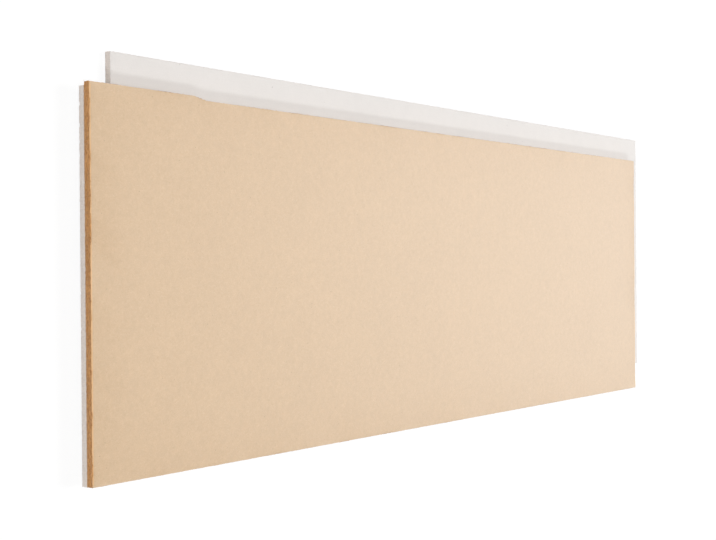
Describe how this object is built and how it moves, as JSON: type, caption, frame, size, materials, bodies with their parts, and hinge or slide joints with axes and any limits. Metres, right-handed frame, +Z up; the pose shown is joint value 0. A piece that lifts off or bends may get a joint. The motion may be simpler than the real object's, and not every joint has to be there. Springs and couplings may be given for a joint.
{
  "type": "dry screed floor element",
  "caption": "Flat dry screed element: gypsum fibre boards glued with a diagonal offset that leaves stepped lap edges, with a wood fibre insulation board glued flush on one face.",
  "frame": {"origin": "centre of the element's outline, steps included, on the surface that it lies on, which is its walking face", "axes": "+X along the length, +Y across the width, +Z up through the layers from the walking face to the insulation; the walking side board is offset towards +X and +Y"},
  "size_m": [1.55, 0.55, 0.03],
  "materials": {
    "gypsum_fibre": "matte",
    "wood_fibre": "matte"
  },
  "bodies": {
    "root": {"walking_side_gypsum_board": "gypsum_fibre", "insulation_side_gypsum_board": "gypsum_fibre", "wood_fibre_insulation_board": "wood_fibre"}
  },
  "joints": []
}
